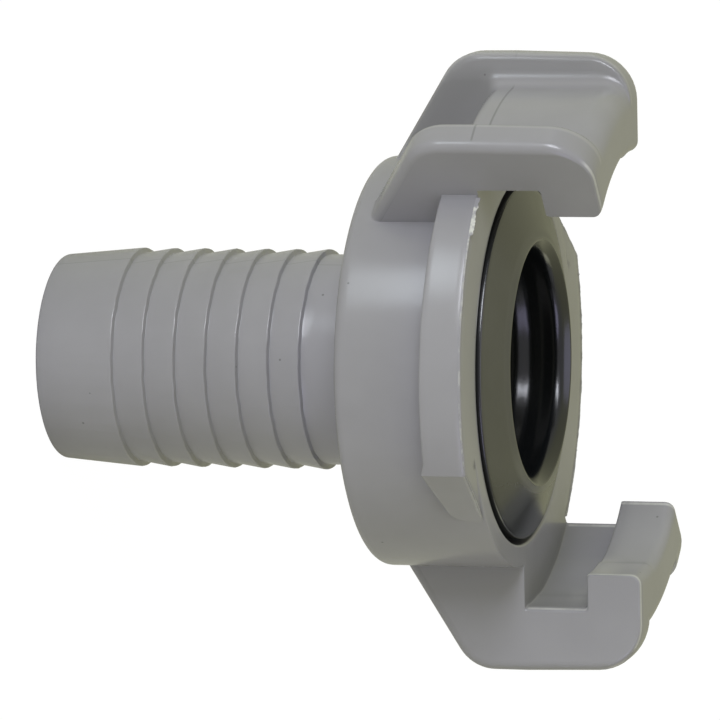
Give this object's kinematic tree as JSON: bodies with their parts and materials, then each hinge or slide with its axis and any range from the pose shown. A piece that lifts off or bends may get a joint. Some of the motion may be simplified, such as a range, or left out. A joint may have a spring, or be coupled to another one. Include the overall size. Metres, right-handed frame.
{
  "type": "hose claw coupling",
  "caption": "Plastic claw coupling half with a barbed hose tail, bayonet claws, locking ledges and a rubber face seal, for joining water hoses.",
  "frame": {"origin": "centre of the tail's end face, which the part stands on", "axes": "+Z along the waterway, from the tail to the claws; the claws are centred on +X and -X"},
  "size_m": [0.056, 0.0456, 0.056],
  "materials": {
    "grey_plastic": "satin moulded grey plastic",
    "black_rubber": "smooth black rubber"
  },
  "bodies": {
    "root": {"coupling_body": "grey_plastic", "seal_ring": "black_rubber"}
  },
  "joints": []
}
